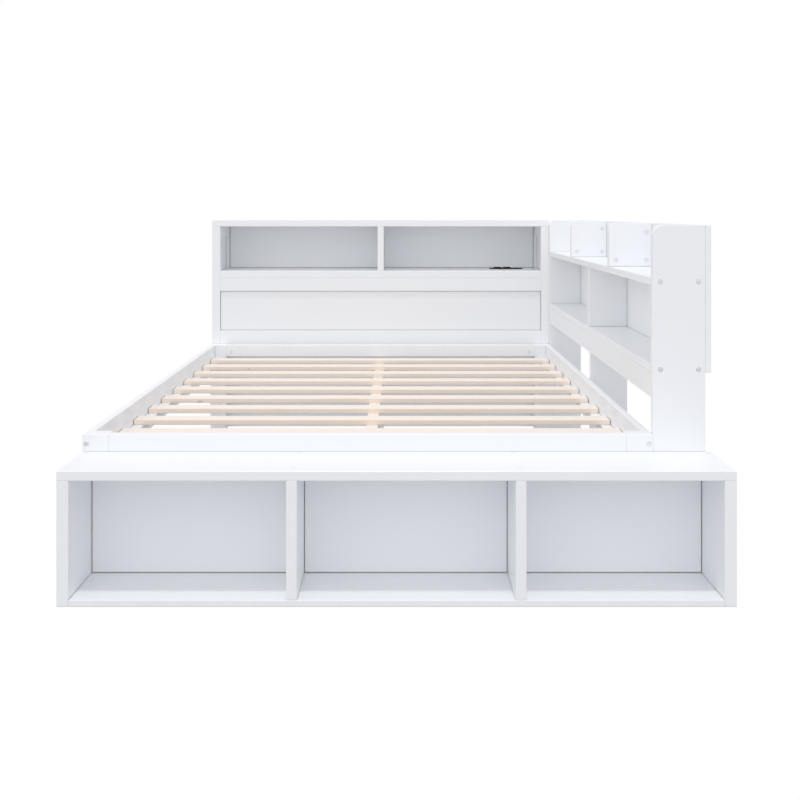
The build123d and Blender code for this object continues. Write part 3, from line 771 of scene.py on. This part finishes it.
class DAYBED_OT_centre_rail(bpy.types.Operator):
    """Makes the pine rail under the slats and the steel cradles that hold its ends"""

    bl_idname = "daybed.centre_rail"
    bl_label = "Centre rail"
    bl_options = {"REGISTER", "UNDO"}

    def execute(self, context):
        sizes = context.scene.daybed_sizes
        lo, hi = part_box("centre_rail")
        mesh = bmesh.new()
        bar(mesh, lo, hi, sizes.rail_edge)
        mark_boards(mesh, [(lo, hi)])
        new_piece("pine_centre_rail", mesh, "planed_pine_along", ["centre_rail"])
        self.make_cradles(lo, hi)
        return {"FINISHED"}

    def make_cradles(self, rail_lo, rail_hi):
        """Each cradle is a flange on an end rail, a seat under the centre rail and two walls."""
        screw_inset = 9 * MM
        mesh = bmesh.new()
        for points in solids_of("centre_brackets"):
            lo, hi = box_of(points)
            sheet = rail_lo.z - lo.z
            towards_foot = lo.y < rail_lo.y
            flange = (lo.y, lo.y + sheet) if towards_foot else (hi.y - sheet, hi.y)
            seat = (flange[1], hi.y) if towards_foot else (lo.y, flange[0])
            edge = sheet * 0.3
            bar(mesh, (lo.x, flange[0], lo.z), (hi.x, flange[1], hi.z), edge)
            left, right = rail_lo.x - sheet, rail_hi.x + sheet
            bar(mesh, (left, seat[0], lo.z), (right, seat[1], rail_lo.z), edge)
            bar(mesh, (left, seat[0], lo.z), (rail_lo.x, seat[1], hi.z), edge)
            bar(mesh, (rail_hi.x, seat[0], lo.z), (right, seat[1], hi.z), edge)
            outward = TOWARDS_HEAD if towards_foot else TOWARDS_FOOT
            face = flange[1] if towards_foot else flange[0]
            for x in ((lo.x + left) / 2, (hi.x + right) / 2):
                for z in (lo.z + screw_inset, hi.z - screw_inset):
                    turned(mesh, facing(Vector((x, face, z)), outward), CROSS_HEAD)
        new_piece("steel_rail_cradles", mesh, "zinc_plated_steel", ["centre_brackets"])


class DAYBED_OT_bolts(bpy.types.Operator):
    """Makes the joint bolts, with flanged heads and hexagon sockets"""

    bl_idname = "daybed.bolts"
    bl_label = "Joint bolts"
    bl_options = {"REGISTER", "UNDO"}

    def execute(self, context):
        sizes = context.scene.daybed_sizes
        mesh = bmesh.new()
        for points in solids_of("joint_bolts"):
            turned(mesh, facing(*head_of(points)), bolt_skin(length_of(points), sizes.bolt_rim / MM))
        new_piece("steel_joint_bolts", mesh, "zinc_plated_steel", ["joint_bolts"])
        return {"FINISHED"}


class DAYBED_OT_nuts(bpy.types.Operator):
    """Makes the slotted cross nuts that the joint bolts screw into"""

    bl_idname = "daybed.nuts"
    bl_label = "Cross nuts"
    bl_options = {"REGISTER", "UNDO"}

    def execute(self, context):
        sizes = context.scene.daybed_sizes
        lo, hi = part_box("slats")
        middle = (lo.x + hi.x) / 2
        mesh = bmesh.new()
        for points in solids_of("barrel_nuts"):
            low, high = box_of(points)
            size = high - low
            # An upright nut is let in from below, and any other from the inner face of its board
            if size.z > size.x:
                outward = DOWN
            else:
                outward = TOWARDS_RIGHT if low.x < middle else TOWARDS_LEFT
            place = facing(end_of(points, outward), outward)
            turned(mesh, place, nut_skin(length_of(points), sizes.nut_rim / MM))
        new_piece("steel_cross_nuts", mesh, "zinc_plated_steel", ["barrel_nuts"])
        return {"FINISHED"}


class DAYBED_OT_screws(bpy.types.Operator):
    """Makes the slat screws and the bench screws"""

    bl_idname = "daybed.screws"
    bl_label = "Screws"
    bl_options = {"REGISTER", "UNDO"}

    def execute(self, context):
        sizes = context.scene.daybed_sizes
        mesh = bmesh.new()
        for points in solids_of("slat_screws"):
            place = facing(end_of(points, UP), UP)
            turned(mesh, place, slat_screw_skin(length_of(points), sizes.screw_head / MM))
        new_piece("steel_slat_screws", mesh, "zinc_plated_steel", ["slat_screws"])
        mesh = bmesh.new()
        for points in solids_of("bench_screws"):
            turned(mesh, facing(*head_of(points)), bench_screw_skin(length_of(points)))
        new_piece("steel_bench_screws", mesh, "zinc_plated_steel", ["bench_screws"])
        return {"FINISHED"}


class DAYBED_OT_caps(bpy.types.Operator):
    """Makes the white caps on the bench and the cam locks in the dividers and rails"""

    bl_idname = "daybed.caps"
    bl_label = "Caps and cam locks"
    bl_options = {"REGISTER", "UNDO"}

    def execute(self, context):
        sizes = context.scene.daybed_sizes
        mesh = bmesh.new()
        for points in solids_of("bench_caps"):
            lo, hi = box_of(points)
            place = facing(end_of(points, UP), UP)
            turned(mesh, place, cap_skin((hi.z - lo.z) / MM, sizes.cap_rim / MM))
        new_piece("plastic_bench_caps", mesh, "moulded_white_plastic", ["bench_caps"])
        mesh = bmesh.new()
        for points in solids_of("cam_locks"):
            lo, hi = box_of(points)
            place = facing(end_of(points, TOWARDS_FOOT), TOWARDS_FOOT)
            turned(mesh, place, cam_skin((hi.y - lo.y) / MM, sizes.cam_rim / MM))
        new_piece("plastic_cam_locks", mesh, "moulded_white_plastic", ["cam_locks"])
        self.make_rail_covers(sizes)
        return {"FINISHED"}

    def make_rail_covers(self, sizes):
        """The end rails have a covered cam near each end, on the side of the mattress."""
        mesh = bmesh.new()
        for node, outward in (("head_rail", TOWARDS_FOOT), ("foot_rail", TOWARDS_HEAD)):
            lo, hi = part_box(node)
            posts = [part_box(node.replace("rail", "post_" + side)) for side in ("left", "right")]
            for x in (posts[0][1].x + sizes.cover_inset, posts[1][0].x - sizes.cover_inset):
                y = lo.y if outward == TOWARDS_FOOT else hi.y
                z = hi.z - sizes.cover_drop
                turned(mesh, facing(Vector((x, y, z)), outward), cover_skin(sizes.cam_rim / MM))
        new_piece("plastic_rail_covers", mesh, "moulded_white_plastic")


class DAYBED_OT_outlet(bpy.types.Operator):
    """Makes the power outlet: cover plate, two sockets and a block with two USB ports"""

    bl_idname = "daybed.outlet"
    bl_label = "Power outlet"
    bl_options = {"REGISTER", "UNDO"}

    def execute(self, context):
        plate_lo, plate_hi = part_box("outlet_plate")
        sockets = [box_of(points) for points in solids_of("outlet_sockets")]
        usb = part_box("outlet_usb_ports")
        self.make_plate(plate_lo, plate_hi, sockets + [usb])
        self.make_sockets(sockets, plate_hi.z)
        self.make_usb_ports(usb)
        return {"FINISHED"}

    def make_plate(self, lo, hi, openings):
        plate_edge = 1.2 * MM
        opening_edge = 1.0 * MM
        gap = 0.2 * MM
        mesh = bmesh.new()
        bar(mesh, lo, hi, plate_edge)
        plate = new_piece(
            "plastic_outlet_plate", mesh, "moulded_black_plastic", ["outlet_plate"]
        )
        cutters = bmesh.new()
        for low, high in openings:
            bar(
                cutters, (low.x - gap, low.y - gap, lo.z - MM), (high.x + gap, high.y + gap, hi.z + MM),
                opening_edge, segments=2,
            )
        carve(plate, cutters)

    def make_sockets(self, boxes, plate_top):
        """Each socket is a collar just over the plate, and a narrower face that stands on it."""
        collar_rise = 0.8 * MM
        collar_edge = 0.4 * MM
        face_inset = Vector((1.8 * MM, 1.2 * MM, 0))
        face_edge = 1.4 * MM
        pin_offset = 6.35 * MM
        pin_half = Vector((1.1 * MM, 4 * MM, 0))
        pin_edge = 0.3 * MM
        hole_depth = 12.0
        earth_offset = 10 * MM
        earth_radius = 2.6
        mesh = bmesh.new()
        for lo, hi in boxes:
            bar(mesh, lo, (hi.x, hi.y, plate_top + collar_rise), collar_edge)
            face_lo = (lo.x + face_inset.x, lo.y + face_inset.y, plate_top - MM)
            bar(mesh, face_lo, hi - face_inset, face_edge)
        sockets = new_piece(
            "plastic_sockets", mesh, "moulded_black_plastic", ["outlet_sockets"]
        )
        cutters = bmesh.new()
        for lo, hi in boxes:
            middle = (lo + hi) / 2
            for x in (middle.x - pin_offset, middle.x + pin_offset):
                bar(
                    cutters, (x - pin_half.x, middle.y - pin_half.y, hi.z - hole_depth * MM),
                    (x + pin_half.x, middle.y + pin_half.y, hi.z + MM), pin_edge, segments=1,
                )
            earth = facing(Vector((middle.x, middle.y - earth_offset, hi.z)), UP)
            turned(cutters, earth, ((earth_radius, -hole_depth), (earth_radius, 1.0)))
        bmesh.ops.recalc_face_normals(cutters, faces=cutters.faces)
        carve(sockets, cutters)

    def make_usb_ports(self, box):
        """The block's two ports, each a slot with a tongue that carries its contacts."""
        block_edge = 0.8 * MM
        port_offset = 8.5 * MM
        port_half = Vector((2.5 * MM, 6.3 * MM, 0))
        port_depth = 8 * MM
        port_edge = 0.2 * MM
        tongue_left, tongue_right = 1.6 * MM, 0.2 * MM
        tongue_half_length = 5.4 * MM
        tongue_foot, tongue_sink = 8.5 * MM, 1.2 * MM
        lo, hi = box
        middle = (lo + hi) / 2
        mesh = bmesh.new()
        bar(mesh, lo, hi, block_edge)
        ports = new_piece(
            "plastic_usb_block", mesh, "moulded_black_plastic", ["outlet_usb_ports"]
        )
        cutters = bmesh.new()
        tongues = bmesh.new()
        for y in (middle.y - port_offset, middle.y + port_offset):
            bar(
                cutters, (middle.x - port_half.x, y - port_half.y, hi.z - port_depth),
                (middle.x + port_half.x, y + port_half.y, hi.z + MM), port_edge, segments=1,
            )
            bar(
                tongues, (middle.x - tongue_left, y - tongue_half_length, hi.z - tongue_foot),
                (middle.x - tongue_right, y + tongue_half_length, hi.z - tongue_sink), port_edge,
                segments=1,
            )
        carve(ports, cutters)
        new_piece("tinned_usb_tongues", tongues, "tinned_contact")


class DAYBED_OT_studio(bpy.types.Operator):
    """Makes the white floor, the even light, the overhead light and the camera"""

    bl_idname = "daybed.studio"
    bl_label = "Studio"
    bl_options = {"REGISTER", "UNDO"}

    def execute(self, context):
        studio = context.scene.daybed_studio
        self.make_sky(studio)
        self.make_floor(studio)
        key = bpy.data.lights.new("overhead_key", "SUN")
        key.energy = studio.key
        key.angle = studio.key_softness
        lamp = bpy.data.objects.new("overhead_key", key)
        lamp.rotation_euler = (studio.key_tilt, 0, 0)
        bpy.context.scene.collection.objects.link(lamp)
        self.make_camera(studio)
        bpy.context.scene.view_settings.view_transform = "Standard"
        bpy.context.scene.view_settings.gamma = VIEW_GAMMA
        return {"FINISHED"}

    def make_sky(self, studio):
        """Soft light from all round, more in front and on the left. The camera sees it as white."""
        world = bpy.data.worlds.new("white_surround")
        bpy.context.scene.world = world
        world.use_nodes = True
        tree = world.node_tree
        tree.nodes.clear()
        way = add_node(tree, "ShaderNodeTexCoord").outputs["Generated"]
        strength = studio.surround
        rise = math.sin(SOFT_LIGHT_RISE)
        level = math.cos(SOFT_LIGHT_RISE)
        front, left = Vector((0, -level, rise)), Vector((-level, 0, rise))
        for towards, amount in ((front, studio.front_light), (left, studio.left_light)):
            along = add_node(
                tree, "ShaderNodeVectorMath", {0: way, 1: towards}, operation="DOT_PRODUCT"
            ).outputs["Value"]
            ahead = add_node(tree, "ShaderNodeMath", {0: along, 1: 0.0}, operation="MAXIMUM").outputs[0]
            lobe = add_node(
                tree, "ShaderNodeMath", {0: ahead, 1: SOFT_LIGHT_FOCUS}, operation="POWER"
            ).outputs[0]
            strength = add_node(
                tree, "ShaderNodeMath", {0: lobe, 1: amount, 2: strength}, operation="MULTIPLY_ADD"
            ).outputs[0]
        seen = add_node(tree, "ShaderNodeLightPath").outputs["Is Camera Ray"]
        light = add_node(
            tree, "ShaderNodeBackground", {"Color": list(studio.sky_tint), "Strength": strength}
        )
        backdrop = add_node(tree, "ShaderNodeBackground", {"Color": (1, 1, 1, 1), "Strength": 1.0})
        mixed = add_node(
            tree, "ShaderNodeMixShader", {0: seen, 1: light.outputs[0], 2: backdrop.outputs[0]}
        )
        add_node(tree, "ShaderNodeOutputWorld", {"Surface": mixed.outputs[0]})

    def make_floor(self, studio):
        """A white floor that lights the bed from below, and that the camera sees as blown out white."""
        mesh = bmesh.new()
        bmesh.ops.create_grid(mesh, x_segments=4, y_segments=4, size=FLOOR_SIZE)
        data = bpy.data.meshes.new("studio_floor")
        mesh.to_mesh(data)
        mesh.free()
        floor = bpy.data.objects.new("studio_floor", data)
        bpy.context.scene.collection.objects.link(floor)
        material, tree = new_material("painted_studio_floor")
        seen = add_node(tree, "ShaderNodeLightPath").outputs["Is Camera Ray"]
        paint = add_node(tree, "ShaderNodeBsdfDiffuse", {"Color": list(studio.floor_shade)})
        glow = add_node(tree, "ShaderNodeEmission", {"Color": (1, 1, 1, 1), "Strength": 1.0})
        mixed = add_node(tree, "ShaderNodeMixShader", {0: seen, 1: paint.outputs[0], 2: glow.outputs[0]})
        add_node(tree, "ShaderNodeOutputMaterial", {"Surface": mixed.outputs[0]})
        data.materials.append(material)

    def make_camera(self, studio):
        """A level camera at the foot. The small shift keeps the uprights upright, as in the photo."""
        data = bpy.data.cameras.new("photo_camera")
        data.lens = studio.lens
        data.sensor_width = SENSOR_WIDTH
        data.shift_x = LENS_SHIFT_X
        data.shift_y = LENS_SHIFT_Y
        camera = bpy.data.objects.new("photo_camera", data)
        camera.location = (studio.eye_side, -studio.eye_distance, studio.eye_height)
        camera.rotation_euler = (math.pi / 2, 0, 0)
        bpy.context.scene.collection.objects.link(camera)
        bpy.context.scene.camera = camera


OPERATORS = (
    DAYBED_OT_boards, DAYBED_OT_slats, DAYBED_OT_centre_rail, DAYBED_OT_bolts, DAYBED_OT_nuts,
    DAYBED_OT_screws, DAYBED_OT_caps, DAYBED_OT_outlet, DAYBED_OT_studio,
)


class DAYBED_PT_panel(bpy.types.Panel):
    """Lists the daybed's sizes, colours and pieces"""

    bl_idname = "DAYBED_PT_panel"
    bl_label = "Storage daybed"
    bl_space_type = "VIEW_3D"
    bl_region_type = "UI"
    bl_category = "Daybed"

    def draw(self, context):
        for group in ("daybed_sizes", "daybed_colours", "daybed_studio"):
            settings = getattr(context.scene, group)
            box = self.layout.box()
            for key in settings.__annotations__:
                box.prop(settings, key)
        for operator in OPERATORS:
            self.layout.operator(operator.bl_idname)


CLASSES = (DaybedColours, DaybedSizes, DaybedStudio, *OPERATORS, DAYBED_PT_panel)


def register():
    for made in CLASSES:
        bpy.utils.register_class(made)
    bpy.types.Scene.daybed_colours = bpy.props.PointerProperty(type=DaybedColours)
    bpy.types.Scene.daybed_sizes = bpy.props.PointerProperty(type=DaybedSizes)
    bpy.types.Scene.daybed_studio = bpy.props.PointerProperty(type=DaybedStudio)


def unregister():
    del bpy.types.Scene.daybed_studio
    del bpy.types.Scene.daybed_sizes
    del bpy.types.Scene.daybed_colours
    for made in reversed(CLASSES):
        bpy.utils.unregister_class(made)


def main():
    register()
    for operator in OPERATORS:
        group, name = operator.bl_idname.split(".")
        getattr(getattr(bpy.ops, group), name)()


if __name__ == "__main__":
    main()
